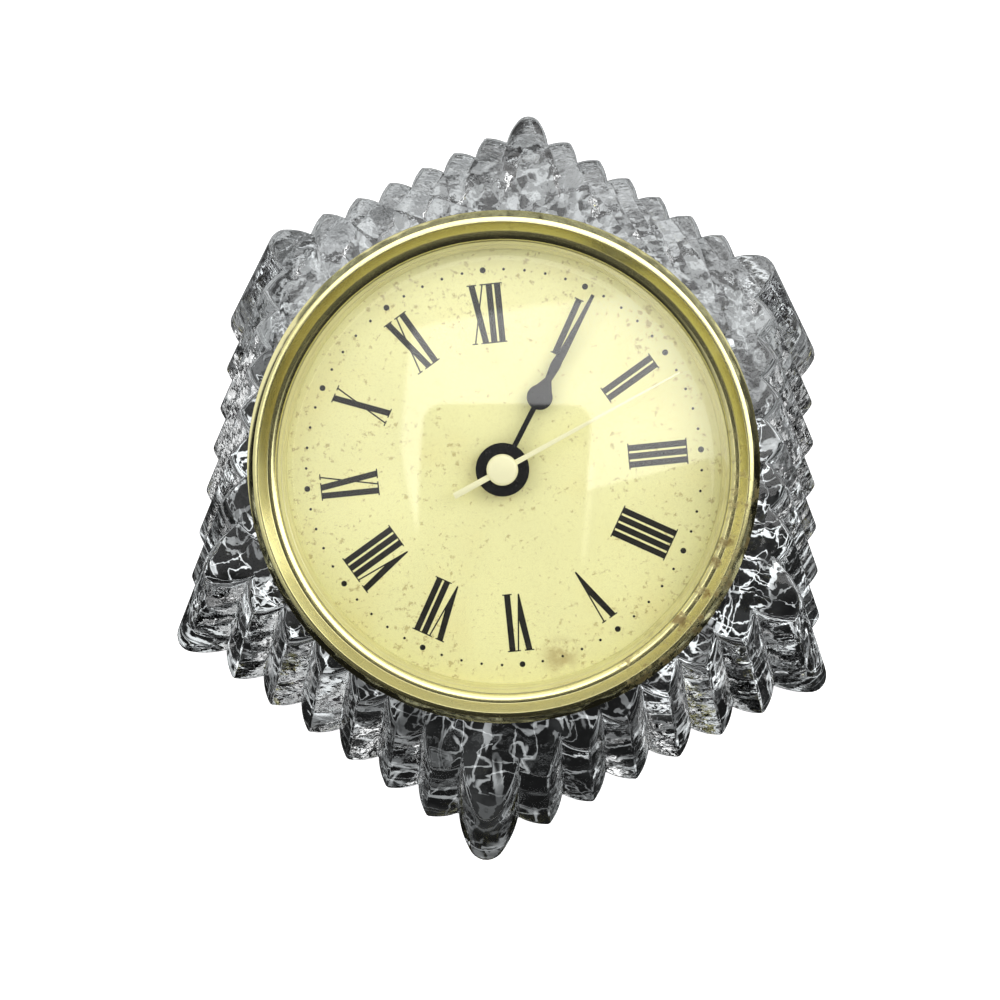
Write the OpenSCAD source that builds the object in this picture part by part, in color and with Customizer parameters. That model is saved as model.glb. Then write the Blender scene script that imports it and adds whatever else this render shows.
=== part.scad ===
// Crystal desk clock: a ridged, wedge-shaped glass block with a round quartz
// insert seated in its sloping face. The base centre is the origin, +Y is the
// high back corner, +Z is up. All sizes are in millimetres and degrees.

/* [Crystal] */
// Distance from the centre to the ridge crests of a side, at the foot
base_apothem = 63.3; // [61:0.1:68]
// Depth of the V grooves between the ridges
groove_depth = 3.7; // [2:0.1:4.5]
// Number of ridges on each of the six sides
ridges = 6; // [5:1:8]
// Length of side that each corner tooth takes up
corner_share = 8.6; // [7:0.1:10]
// How far the corner teeth stand out past the meeting line of the crests
corner_reach = 0.6; // [0:0.1:1.5]
// Radius of the rounded nose of a corner tooth
nose_r = 3.6; // [2.5:0.1:4.5]
// Width of the small flat along each ridge crest
crest_flat = 0.5; // [0.3:0.1:1]
// Lean of the side walls from upright
wall_lean = 22.5; // [18:0.5:23.5]
// Height of the sloping face over the base centre
face_height = 43.4; // [41:0.1:48]
// Slope of the face from level
face_tilt = 22.5; // [18:0.5:24]
// Height of the bevel round the foot
foot_bevel = 1.4; // [0.6:0.1:3]
// Width of the polished bevel round the sloping face
face_bevel = 0.9; // [0.4:0.1:1.6]

/* [Insert] */
// Outer diameter of the plastic movement case
case_d = 76.6; // [66:0.1:80]
// Wall of the movement case
case_wall = 1.6; // [1.2:0.1:1.8]
// Floor thickness of the movement case
floor_t = 1.4; // [1.2:0.1:1.6]
// Gap between the case and the glass that the rubber sleeve fills
sleeve_gap = 1.8; // [1.5:0.1:2.2]
// Free depth of the blind pocket behind the case
pocket_room = 0.5; // [0.3:0.1:2]
// Distance of the insert's axis in front of the base centre
insert_offset = 10.4; // [7:0.1:12]
// Distance of the insert's axis to the left of the base centre
insert_side = 0.9; // [0:0.1:2]
// Turn of the whole insert in its pocket, anticlockwise
insert_turn = 9.2; // [0:0.1:20]
// How far the bezel covers the glass round the pocket
bezel_cover = 2.9; // [2.6:0.1:4.5]
// Height of the bezel's rim over the glass
bezel_rise = 5; // [4.5:0.1:6]
// Thickness of the bezel's skirt in the pocket
skirt_wall = 0.6; // [0.5:0.05:0.8]
// Width of the bezel's lip over the edge of the lens
lip_w = 0.8; // [0.6:0.1:1]
// Thickness of the domed lens
lens_t = 1.6; // [1.2:0.1:1.8]
// Height of the lens crown over the bezel's rim
lens_crown = 1.4; // [0.8:0.1:3]

/* [Dial] */
// Depth of the dial under the bezel's rim
dial_depth = 8; // [7.4:0.1:8.6]
// Thickness of the dial sheet
dial_t = 0.4; // [0.3:0.05:0.5]
// Width of the inner ring where it stands on the dial
ring_w = 1.4; // [1.3:0.1:3]

/* [Hands] */
// Diameter of the hub disc of the hour and minute hands
hub_d = 9.2; // [8.6:0.1:10]
// Thickness of the hour and minute hands
hand_t = 0.25; // [0.2:0.01:0.3]
// Distance of the minute hand's tip from the inner ring
minute_gap = 4.4; // [1:0.1:6]
// Distance of the hour hand's tip from the inner ring
hour_gap = 11.2; // [7:0.1:13]
// Distance of the second hand's tip from the inner ring
second_gap = 3.5; // [1:0.1:6]
// Length of the second hand's tail
tail_len = 9.4; // [7:0.1:12]
// Distance of the round boss on the hands from their axis
boss_offset = 13.9; // [12:0.1:16]
// Diameter of the round boss on the hands
boss_d = 4.3; // [3.4:0.1:5]
// Diameter of the cap in the middle of the second hand
cap_d = 5.4; // [4.6:0.1:6]
// Hour hand's place on the dial, clockwise from twelve
hour_at = 32.7; // [0:0.1:360]
// Minute hand's place on the dial, clockwise from twelve
minute_at = 33.2; // [0:0.1:360]
// Second hand's place on the dial, clockwise from twelve
second_at = 67; // [0:0.1:360]

/* [Movement] */
// Thickness of the movement's front plate
front_plate_t = 1.5; // [1.2:0.1:1.6]
// Thickness of the movement's middle plate
mid_plate_t = 0.8; // [0.6:0.1:0.9]
// Thickness of the movement's back plate
back_plate_t = 1.2; // [1:0.1:1.4]
// Thickness of every wheel's rim
wheel_t = 0.6; // [0.5:0.05:0.65]
// Free space between neighbouring wheels and plates
level_gap = 0.35; // [0.3:0.01:0.38]
// Radius of the second hand's arbor
second_arbor_r = 0.45; // [0.35:0.05:0.55]
// Wall of the minute arbor and of the hour pipe
pipe_wall = 0.5; // [0.4:0.05:0.55]
// Radius of the plain arbors of the other wheels
arbor_r = 0.4; // [0.3:0.05:0.45]
// Radial clearance of everything that turns in a hole
run_fit = 0.05; // [0.02:0.01:0.08]
// Radial clearance between fixed pieces that fit together
seat_fit = 0.02; // [0.01:0.01:0.05]
// Distance from the centre axis to the third wheel's axis
third_offset = 9.8; // [9.7:0.05:10]
// Distance from the centre axis to the step wheel's axis
step_offset = 10; // [9.9:0.05:10.1]
// Distance from the step wheel's axis to the rotor's axis
rotor_offset = 7.92; // [7.8:0.02:8.1]
// Distance from the centre axis to the motion wheel's axis
motion_offset = 6.4; // [6.3:0.05:6.5]
// Diameter of the rotor's magnet
magnet_d = 5.6; // [5:0.1:6]
// Distance from the rotor's axis to the coil's axis
coil_offset = 8; // [7.8:0.1:9]
// Length of the coil's bobbin
bobbin_len = 18; // [15:0.5:19]
// Width of the stator's legs and of the coil core
leg_w = 3; // [2.4:0.1:3]
// Thickness of the stator and of the coil core
iron_t = 0.5; // [0.4:0.05:0.6]
// Diameter of the threaded bushing that holds the dial
bushing_d = 6; // [5.6:0.1:6.4]
// Diameter of the movement's posts
post_d = 4; // [3.6:0.1:4.4]

/* [Battery and setting] */
// Diameter of the battery
battery_d = 12; // [11:0.1:13]
// Length of the battery's body without its nipple
battery_len = 29.4; // [27:0.1:31]
// Distance of the battery's side from the case wall
battery_room = 7.4; // [5.5:0.1:8]
// Diameter of the hand-setting knob
knob_d = 10; // [8:0.1:10.6]
// Travel of the battery hatch
hatch_travel = 6; // [4:0.5:6]

/* [Hidden] */
$fn = 64;

// Gap between pieces that rest on each other
seat_gap = 0.1;

// Crystal block: the walls lean to one apex over the base centre
apex_h = base_apothem / tan(wall_lean);
side_half = base_apothem * tan(30);
pitch = 2 * (side_half - corner_share) / ridges;
groove_apothem = base_apothem - groove_depth;
nose_centre = base_apothem / cos(30) + corner_reach - nose_r;
nose_half_angle = 62;
nose_steps = 6;
foot_inset = foot_bevel * 0.9;
rise = tan(face_tilt);

// Insert radii, from the movement case outwards and back in to the dial
case_r = case_d / 2;
case_inner_r = case_r - case_wall;
pocket_r = case_r + sleeve_gap;
bezel_r = pocket_r + bezel_cover;
skirt_fit = 0.4;
skirt_r = pocket_r - skirt_fit;
seat_r = skirt_r - skirt_wall;
lip_r = seat_r - lip_w;
lens_r = seat_r - seat_gap;
show_r = seat_r - ring_w;

// Insert levels along its own axis, zero on the sloping face, plus outwards
face_z = face_height - rise * insert_offset;
lip_under = 2.2;
lens_edge_t = 0.8;
dial_top = bezel_rise - dial_depth;
dial_bottom = dial_top - dial_t;
skirt_bottom = dial_bottom - 1.2;
crown_z = bezel_rise + lens_crown;
lens_edge_z = lip_under - seat_gap;
dome_rise = crown_z - lens_edge_z;
dome_r = (lip_r * lip_r + dome_rise * dome_rise) / (2 * dome_rise);

// Levels of the movement, from the dial backwards
plate_top = dial_bottom - seat_gap;
plate_low = plate_top - front_plate_t;
battery_r = battery_d / 2;
battery_fit = 0.3;
case_floor = plate_low - battery_d - 2 * battery_fit;
case_bottom = case_floor - floor_t;
pocket_depth = pocket_room - case_bottom;
hour_z = plate_low - level_gap - wheel_t;
motion_z = hour_z - level_gap - wheel_t;
mid_top = motion_z - level_gap;
mid_low = mid_top - mid_plate_t;
centre_z = mid_low - level_gap - wheel_t;
third_z = centre_z - level_gap - wheel_t;
second_z = third_z - level_gap - wheel_t;
step_z = second_z - level_gap - wheel_t;
back_top = step_z - level_gap;
back_low = back_top - back_plate_t;
plate_r = case_inner_r - 0.2;
inner_plate_r = case_inner_r - 2;
battery_drop = case_inner_r - battery_r - battery_room;
battery_z = (plate_low + case_floor) / 2;
plate_edge_y = -battery_drop + battery_r + 0.9;

// Tubes round the centre axis, each running on the one inside it
minute_bore = second_arbor_r + run_fit;
minute_r = minute_bore + pipe_wall + 0.4;
hour_bore = minute_r + run_fit;
hour_r = hour_bore + pipe_wall;
bushing_bore = hour_r + run_fit;
bushing_r = bushing_d / 2;

// Hands, from the dial outwards
washer_z = dial_top + seat_gap;
washer_t = 0.3;
nut_z = washer_z + washer_t;
nut_t = 0.7;
hour_hand_z = nut_z + nut_t + 0.3;
minute_hand_z = hour_hand_z + hand_t + 0.45;
second_hand_z = minute_hand_z + hand_t + 0.55;
second_hand_t = 0.2;
hour_len = show_r - hour_gap;
minute_len = show_r - minute_gap;
second_len = show_r - second_gap;

// Wheel train: tooth counts, axis places and tooth phases
rotor_teeth = 12;
step_teeth = 60;
step_pinion = 10;
second_teeth = 60;
second_pinion = 8;
third_teeth = 60;
third_pinion = 8;
centre_teeth = 64;
cannon_pinion = 10;
motion_teeth = 30;
motion_pinion = 8;
hour_teeth = 32;
knob_teeth = 12;

third_dir = 200;
step_dir = 100;
rotor_dir = 60;
motion_dir = 330;
knob_dir = 30;

function polar(r, a) = [r * cos(a), r * sin(a)];
// Module of a pair of gears from its axis distance and tooth counts
function pair_module(d, a, b) = 2 * d / (a + b);
// Phase that puts a gear of b teeth in mesh with one of a teeth and phase p
function mesh_phase(dir, a, p, b) = dir + 180 - (180 - a * (dir - p)) / b;

m_third = pair_module(third_offset, second_pinion, third_teeth);
m_centre = pair_module(third_offset, third_pinion, centre_teeth);
m_second = pair_module(step_offset, step_pinion, second_teeth);
m_rotor = pair_module(rotor_offset, rotor_teeth, step_teeth);
m_motion = pair_module(motion_offset, cannon_pinion, motion_teeth);
m_hour = pair_module(motion_offset, motion_pinion, hour_teeth);
knob_offset = m_motion * (knob_teeth + motion_teeth) / 2;

third_xy = polar(third_offset, third_dir);
step_xy = polar(step_offset, step_dir);
rotor_xy = step_xy + polar(rotor_offset, rotor_dir);
motion_xy = polar(motion_offset, motion_dir);
knob_xy = motion_xy + polar(knob_offset, knob_dir);

second_phase = 0;
third_phase = mesh_phase(third_dir, second_pinion, second_phase, third_teeth);
centre_phase = mesh_phase(third_dir + 180, third_pinion, third_phase, centre_teeth);
step_phase = mesh_phase(step_dir, second_teeth, second_phase, step_pinion);
rotor_phase = mesh_phase(rotor_dir, step_teeth, step_phase, rotor_teeth);
cannon_phase = 0;
motion_phase = mesh_phase(motion_dir, cannon_pinion, cannon_phase, motion_teeth);
hour_phase = mesh_phase(motion_dir + 180, motion_pinion, motion_phase, hour_teeth);
knob_phase = mesh_phase(knob_dir, motion_teeth, motion_phase, knob_teeth);

// Posts of the movement and what hangs on its plates
post_r = post_d / 2;
post_step = 0.4;
post_circle = inner_plate_r - 7.7;
posts = [polar(post_circle, 153), polar(post_circle, 44), polar(post_circle, 203), [13.5, 8]];
pilot_r = 0.8;
screw_head_r = 1.6;
screw_head_h = 0.9;
screw_slot_w = 0.4;
magnet_r = magnet_d / 2;
stator_z = (centre_z + third_z) / 2;
stator_bore = magnet_r + 0.4;
coil_y = rotor_xy.y + coil_offset;
coil_x = rotor_xy.x - 1;
core_half = bobbin_len / 2 + leg_w;
coil_z = stator_z + 1.5 * iron_t;
bobbin_r = norm([leg_w, iron_t]) / 2 + 0.55;
flange_t = 0.8;
winding_r = bobbin_r + 0.65;
board_size = [10, 20, 0.8];
board_low = knob_xy + [5.6, -10.2];
board_z = back_top + 0.3;
board_top = board_z + board_size.z + seat_fit;
contact_t = 0.4;
contact_half = 4;
contact_x = battery_len / 2 + 0.9;
knob_r = knob_d / 2;
knob_well = 2.3;
knob_shaft_r = 1.2;
well_wall = 1;
hatch_half = [battery_len / 2 + 1.4, battery_r + 0.8];
hatch_t = 0.9;
hatch_fit = 0.15;

// The frame of the insert, with its axis square to the sloping face
module on_face() {
    translate([-insert_side, -insert_offset, face_z]) rotate([face_tilt, 0, 0])
        rotate([0, 0, insert_turn]) children();
}

// A tube standing on z, or a plain rod when bore is zero
module tube(r, bore, z, h) {
    translate([0, 0, z]) difference() {
        cylinder(r = r, h = h);
        if (bore > 0) translate([0, 0, -1]) cylinder(r = bore, h = h + 2);
    }
}

// Gear outline with straight-flanked teeth and room for backlash
function gear_points(teeth, m, phase) = let (
    pitch_r = teeth * m / 2, tip_r = pitch_r + 0.8 * m, root_r = pitch_r - 1.1 * m,
    tip_a = 22 / teeth, root_a = 98 / teeth)
    [for (i = [0:teeth - 1]) let (a = phase + i * 360 / teeth)
        each [polar(root_r, a - root_a), polar(tip_r, a - tip_a),
            polar(tip_r, a + tip_a), polar(root_r, a + root_a)]];

module gear(teeth, m, phase, z, h) {
    translate([0, 0, z]) linear_extrude(height = h) polygon(gear_points(teeth, m, phase));
}

// Wheel with a rim, a hub and round windows cut between them
module spoked_wheel(teeth, m, phase, z, hub_r, windows) {
    web = teeth * m / 2 - 1.1 * m - 0.8;
    window_r = min((web - hub_r) / 2 - 0.3, (web + hub_r) / 2 * sin(180 / windows) - 0.4);
    difference() {
        gear(teeth, m, phase, z, wheel_t);
        for (i = [0:windows - 1])
            rotate([0, 0, i * 360 / windows + 15]) translate([(web + hub_r) / 2, 0, z - 1])
                cylinder(r = window_r, h = wheel_t + 2, $fn = 32);
    }
}

// Outline of the crystal at the foot, anticlockwise
function side_points(k) = [for (i = [0:ridges]) let (s = (i - ridges / 2) * pitch)
    each concat([turned([groove_apothem, s], 60 * k)],
        i < ridges ? [turned([base_apothem, s + (pitch - crest_flat) / 2], 60 * k),
            turned([base_apothem, s + (pitch + crest_flat) / 2], 60 * k)] : [])];
function corner_points(k) = [for (i = [0:nose_steps])
    turned([nose_centre, 0] + polar(nose_r, nose_half_angle * (2 * i / nose_steps - 1)),
        60 * k + 30)];
function turned(p, a) = [p.x * cos(a) - p.y * sin(a), p.x * sin(a) + p.y * cos(a)];
outline = [for (k = [0:5]) each concat(side_points(k), corner_points(k))];

// A foot point moved up its wall line to a level, or to a plane along the slope
function up_wall(p, z) = let (s = 1 - (z - foot_bevel) / apex_h) [p.x * s, p.y * s, z];
function slope_z(p, drop) = (face_height - drop + rise * p.y * (1 + foot_bevel / apex_h))
    / (1 + rise * p.y / apex_h);

module crystal_block() {
    n = len(outline);
    foot_scale = 1 - foot_inset / base_apothem;
    face_scale = 1 - face_bevel / base_apothem / (1 - face_height / apex_h);
    rings = concat(
        [for (p = outline) [p.x * foot_scale, p.y * foot_scale, 0]],
        [for (p = outline) up_wall(p, foot_bevel)],
        [for (p = outline) up_wall(p, slope_z(p, face_bevel))],
        [for (p = outline * face_scale) up_wall(p, slope_z(p, 0))]);
    walls = [for (r = [0:2], i = [0:n - 1]) let (j = (i + 1) % n)
        each [[r * n + i, (r + 1) * n + i, (r + 1) * n + j], [r * n + i, (r + 1) * n + j, r * n + j]]];
    foot = [for (i = [0:n - 1]) [4 * n, i, (i + 1) % n]];
    face = [for (i = [0:n - 1]) [4 * n + 1, 3 * n + (i + 1) % n, 3 * n + i]];
    polyhedron(points = concat(rings, [[0, 0, 0], [0, 0, face_height]]),
        faces = concat(walls, foot, face));
}

module crystal_body() {
    color("lightcyan", 0.5) difference() {
        crystal_block();
        on_face() translate([0, 0, -pocket_depth])
            cylinder(r = pocket_r, h = pocket_depth + 5, $fn = 96);
    }
}

// Brass bezel: wall on the glass, sloping shoulder, narrow raised bead, inner
// slope, flat lip over the lens and skirt in the pocket
module bezel() {
    shoulder = [1.4, 1.4];
    bead_step = 0.3;
    bead_w = 0.9;
    slope_w = 1.1;
    lip_rise = 0.9;
    shoulder_z = bezel_rise - bead_step;
    bead_r = bezel_r - shoulder.x;
    slope_r = bead_r - bead_w;
    ledge_r = slope_r - slope_w;
    color("goldenrod") on_face() rotate_extrude($fn = 128) polygon(concat(
        [[bezel_r, seat_gap]],
        [for (a = [0:30:90]) [bezel_r - shoulder.x * (1 - cos(a)), shoulder_z - shoulder.y * (1 - sin(a))]],
        [[bead_r - bead_step / 2, bezel_rise - 0.05], [bead_r - bead_w / 2, bezel_rise],
            [slope_r, bezel_rise - 0.15], [ledge_r, lip_under + lip_rise],
            [lip_r + 0.3, lip_under + lip_rise - 0.2], [lip_r, lip_under + lip_rise / 2],
            [lip_r, lip_under], [seat_r, lip_under], [seat_r, skirt_bottom],
            [skirt_r, skirt_bottom], [skirt_r, seat_gap]]));
}

// Domed lens with a thin flat edge under the bezel's lip
module lens() {
    step = 3;
    outer = [for (x = [0:step:lip_r - 2]) [x, crown_z - dome_r + sqrt(dome_r * dome_r - x * x)]];
    inner_r = lip_r - 0.5;
    inner = [for (i = [len(outer) - 1:-1:0]) [outer[i].x * inner_r / lip_r, outer[i].y - lens_t]];
    color("white", 0.3) on_face() rotate_extrude($fn = 96) polygon(concat(outer,
        [[lip_r - seat_gap, lens_edge_z], [lens_r, lens_edge_z], [lens_r, lens_edge_z - lens_edge_t],
            [inner_r - 0.2, lens_edge_z - lens_edge_t]], inner));
}

// Stepped inner ring between the lens and the dial
module dial_ring() {
    top = lens_edge_z - lens_edge_t - seat_gap;
    low = dial_top + seat_gap;
    color("gold") on_face() rotate_extrude($fn = 96) polygon([
        [lens_r, low], [lens_r, top], [show_r + 0.6, top], [show_r + 0.45, top - 0.6],
        [show_r + 0.4, top - 1.6], [show_r + 0.25, top - 1.7], [show_r + 0.2, low + 1.3],
        [show_r + 0.05, low + 1.1], [show_r, low]]);
}

module dial() {
    color("khaki") on_face() tube(lens_r - 0.1, bushing_r + 0.15, dial_bottom, dial_t);
}

// Moulded cup with the plate ledge, the battery well and the knob well
module insert_case() {
    flange_r = seat_r - seat_gap;
    knob_room = knob_r + 0.5;
    ledge_w = 1.4;
    ledge_t = 1.2;
    hatch_ledge = [1.2, 1.6];
    color("dimgray") on_face() difference() {
        union() {
            tube(case_r, 0, case_bottom, dial_bottom - seat_gap - case_bottom);
            tube(flange_r, 0, skirt_bottom - seat_gap, dial_bottom - skirt_bottom);
        }
        tube(case_inner_r, 0, plate_low - seat_gap, 10);
        difference() {
            tube(case_inner_r, 0, case_floor, plate_low - case_floor);
            tube(case_r, case_inner_r - ledge_w, plate_low - seat_gap - ledge_t, ledge_t);
            translate([knob_xy.x, knob_xy.y, 0])
                tube(knob_room + well_wall, 0, case_bottom, knob_well + well_wall);
        }
        translate([0, -battery_drop, case_bottom - 1])
            rounded_box(hatch_half - hatch_ledge, 1.5, floor_t + 2);
        translate([0, -battery_drop + hatch_travel / 2, case_bottom - 1])
            rounded_box(hatch_half + [hatch_fit, hatch_fit + hatch_travel / 2], 1, 1 + hatch_t);
        translate([knob_xy.x, knob_xy.y, 0]) {
            tube(knob_room, 0, case_bottom - 1, knob_well + 1);
            tube(knob_shaft_r + run_fit, 0, case_bottom, 10);
        }
    }
}

// Box of two half sizes with round corners, standing on z = 0
module rounded_box(half, r, h) {
    linear_extrude(height = h) union() {
        square([2 * half.x, 2 * (half.y - r)], center = true);
        square([2 * (half.x - r), 2 * half.y], center = true);
        for (x = [-1, 1], y = [-1, 1]) translate([x * (half.x - r), y * (half.y - r)]) circle(r = r, $fn = 32);
    }
}

// Rubber sleeve that grips the wall of the pocket with three ribs
module case_gasket() {
    top = skirt_bottom - 0.6;
    low = case_bottom + 2.5;
    rib_r = pocket_r - run_fit;
    body_r = case_r + sleeve_gap - 1;
    rib_gap = (top - low) / 3;
    color("black") on_face() rotate_extrude($fn = 96) polygon(concat(
        [[case_r + seat_fit, low], [body_r, low]],
        [for (i = [0:2]) each [[body_r, low + (i + 0.3) * rib_gap], [rib_r, low + (i + 0.5) * rib_gap],
            [rib_r, low + (i + 0.6) * rib_gap], [body_r, low + (i + 0.8) * rib_gap]]],
        [[body_r, top], [case_r + seat_fit, top]]));
}

// Plate outline of the movement, cut off straight above the battery
module plate_blank(r, z, t, y_top) {
    translate([0, 0, z]) intersection() {
        cylinder(r = r, h = t);
        translate([-r, plate_edge_y, -1]) cube([2 * r, y_top - plate_edge_y, t + 2]);
    }
}

module front_plate() {
    color("ivory") on_face() difference() {
        union() {
            tube(plate_r, 0, plate_low, front_plate_t);
            for (p = posts) translate([p.x, p.y, 0]) {
                tube(post_r + post_step, 0, mid_top, plate_low - mid_top);
                tube(post_r, 0, back_top, plate_low - back_top);
            }
            translate([motion_xy.x, motion_xy.y, 0]) tube(arbor_r, 0, mid_top + 0.1, plate_low - mid_top);
        }
        tube(bushing_r + seat_fit, 0, plate_low - 1, 10);
        for (p = posts) translate([p.x, p.y, 0]) tube(pilot_r, 0, back_top - 1, 6);
    }
}

module middle_plate() {
    color("ivory") on_face() difference() {
        plate_blank(inner_plate_r, mid_low, mid_plate_t, coil_y - 4);
        tube(minute_r + run_fit, 0, mid_low - 1, 4);
        for (p = posts) translate([p.x, p.y, 0]) tube(post_r + seat_fit, 0, mid_low - 1, 4);
        for (p = [third_xy, step_xy, rotor_xy])
            translate([p.x, p.y, 0]) tube(arbor_r + run_fit, 0, mid_low - 1, 4);
        translate([knob_xy.x, knob_xy.y, 0]) tube(knob_shaft_r + run_fit, 0, mid_low - 1, 4);
    }
}

module back_plate() {
    color("ivory") on_face() difference() {
        plate_blank(inner_plate_r, back_low, back_plate_t, inner_plate_r);
        tube(second_arbor_r + run_fit, 0, back_low - 1, 4);
        for (p = posts) translate([p.x, p.y, 0]) tube(pilot_r + 0.1, 0, back_low - 1, 4);
        for (p = [third_xy, step_xy, rotor_xy])
            translate([p.x, p.y, 0]) tube(arbor_r + run_fit, 0, back_low - 1, 4);
        translate([knob_xy.x, knob_xy.y, 0]) tube(knob_shaft_r + run_fit, 0, back_low - 1, 4);
    }
}

module plate_screws() {
    color("silver") on_face() for (p = posts) translate([p.x, p.y, 0]) difference() {
        union() {
            tube(screw_head_r, 0, back_low - screw_head_h, screw_head_h);
            tube(pilot_r - seat_fit, 0, back_low, back_plate_t + 4);
        }
        translate([0, 0, back_low - screw_head_h])
            cube([2 * screw_head_r + 1, screw_slot_w, screw_head_h - 0.1], center = true);
    }
}

module bushing() {
    color("gold") on_face() tube(bushing_r, bushing_bore, plate_low, nut_z + nut_t - plate_low);
}

module dial_washer() {
    color("silver") on_face() tube(bushing_r + 1.1, bushing_r + seat_fit, washer_z, washer_t);
}

module dial_nut() {
    color("gold") on_face() difference() {
        translate([0, 0, nut_z]) cylinder(r = bushing_r + 1.3, h = nut_t, $fn = 6);
        tube(bushing_r + seat_fit, 0, nut_z - 1, nut_t + 2);
    }
}

module hour_wheel() {
    color("white") on_face() difference() {
        union() {
            gear(hour_teeth, m_hour, hour_phase, hour_z, wheel_t);
            tube(hour_r, 0, hour_z, hour_hand_z + hand_t - hour_z);
        }
        tube(hour_bore, 0, hour_z - 1, 12);
    }
}

// Hand outline along +Y: hub disc, stem, round boss and leaf blade
module hand_blank(length, blade_w, tip_w, stem_w, bore) {
    boss_r = boss_d / 2;
    foot_a = 42;
    neck = boss_offset + boss_r + 1.2;
    wide = neck + (length - neck) * 0.3;
    late = length - (length - wide) * 0.4;
    half = [[boss_r * sin(foot_a), boss_offset + boss_r * cos(foot_a)], [blade_w * 0.34, neck],
        [blade_w / 2, wide], [tip_w * 0.7, late], [tip_w / 2, length]];
    difference() {
        union() {
            circle(r = hub_d / 2, $fn = 96);
            translate([0, boss_offset]) circle(r = boss_r, $fn = 48);
            translate([-stem_w / 2, 0]) square([stem_w, boss_offset]);
            polygon(concat(half, [for (i = [len(half) - 1:-1:0]) [-half[i].x, half[i].y]]));
        }
        circle(r = bore);
    }
}

module hour_hand() {
    color("black") on_face() translate([0, 0, hour_hand_z]) rotate([0, 0, -hour_at])
        linear_extrude(height = hand_t) hand_blank(hour_len, 1.8, 0.6, 0.9, hour_r + seat_fit);
}

module minute_arbor() {
    color("silver") on_face() difference() {
        union() {
            tube(minute_r, 0, centre_z - 0.15, minute_hand_z + hand_t - centre_z + 0.15);
            gear(cannon_pinion, m_motion, cannon_phase, motion_z, wheel_t);
        }
        tube(minute_bore, 0, centre_z - 1, 14);
    }
}

module minute_hand() {
    color("black") on_face() translate([0, 0, minute_hand_z]) rotate([0, 0, -minute_at])
        linear_extrude(height = hand_t) hand_blank(minute_len, 1.3, 0.6, 0.75, minute_r + seat_fit);
}

module second_wheel() {
    color("white") on_face() union() {
        spoked_wheel(second_teeth, m_second, second_phase, second_z, 1.6, 5);
        gear(second_pinion, m_third, second_phase, second_z, third_z + wheel_t - second_z);
        tube(second_arbor_r, 0, back_low + 0.2, second_hand_z + second_hand_t - back_low - 0.2);
    }
}

// Fine tapered pointer with a tail and a low domed cap over the hub
module second_hand() {
    cap_r = cap_d / 2;
    cap_h = 0.9;
    half = [[0.55, -tail_len], [0.5, 0], [0.25, second_len * 0.6], [0.15, second_len]];
    color("palegoldenrod") on_face() translate([0, 0, second_hand_z]) rotate([0, 0, -second_at])
        difference() {
            union() {
                linear_extrude(height = second_hand_t)
                    polygon(concat(half, [for (i = [len(half) - 1:-1:0]) [-half[i].x, half[i].y]]));
                rotate_extrude() polygon([[0, 0], [cap_r, 0], [cap_r, cap_h - 0.6],
                    [cap_r - 0.25, cap_h - 0.35], [cap_r - 1.2, cap_h - 0.1], [0, cap_h]]);
            }
            tube(second_arbor_r + seat_fit, 0, -1, 1 + second_hand_t + seat_fit);
        }
}

module motion_wheel() {
    color("white") on_face() translate([motion_xy.x, motion_xy.y, 0]) difference() {
        union() {
            gear(motion_teeth, m_motion, motion_phase, motion_z, wheel_t);
            gear(motion_pinion, m_hour, motion_phase, motion_z, hour_z + wheel_t - motion_z);
        }
        tube(arbor_r + run_fit, 0, motion_z - 1, 6);
    }
}

module centre_wheel() {
    color("burlywood") on_face() difference() {
        spoked_wheel(centre_teeth, m_centre, centre_phase, centre_z, 2.6, 5);
        tube(minute_r + run_fit, 0, centre_z - 1, 4);
    }
}

module third_wheel() {
    color("white") on_face() translate([third_xy.x, third_xy.y, 0]) union() {
        spoked_wheel(third_teeth, m_third, third_phase, third_z, 1.5, 5);
        gear(third_pinion, m_centre, third_phase, third_z, centre_z + wheel_t - third_z);
        tube(arbor_r, 0, back_low + 0.2, mid_top - back_low - 0.4);
    }
}

module step_wheel() {
    color("white") on_face() translate([step_xy.x, step_xy.y, 0]) union() {
        spoked_wheel(step_teeth, m_rotor, step_phase, step_z, 1.8, 4);
        gear(step_pinion, m_second, step_phase, step_z, second_z + wheel_t - step_z);
        tube(arbor_r, 0, back_low + 0.2, mid_top - back_low - 0.4);
    }
}

module rotor() {
    color("slategray") on_face() translate([rotor_xy.x, rotor_xy.y, 0]) union() {
        gear(rotor_teeth, m_rotor, rotor_phase, step_z, second_z + wheel_t - step_z);
        tube(magnet_r, 0, second_z + wheel_t, centre_z + wheel_t - second_z - wheel_t);
        tube(arbor_r, 0, back_low + 0.2, mid_top - back_low - 0.4);
    }
}

// Two-legged pole plate round the rotor
module stator() {
    pole_half = magnet_r + 0.85;
    color("gainsboro") on_face() difference() {
        translate([0, 0, stator_z]) union() {
            translate([coil_x - core_half, rotor_xy.y - pole_half, 0])
                cube([2 * core_half, 2 * pole_half, iron_t]);
            for (x = [-core_half, core_half - leg_w]) translate([coil_x + x, rotor_xy.y, 0])
                cube([leg_w, coil_offset + leg_w / 2, iron_t]);
        }
        translate([rotor_xy.x, rotor_xy.y, 0]) tube(stator_bore, 0, stator_z - 1, iron_t + 2);
    }
}

module coil_core() {
    color("gainsboro") on_face() translate([coil_x - core_half, coil_y - leg_w / 2, stator_z + iron_t])
        cube([2 * core_half, leg_w, iron_t]);
}

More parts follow.
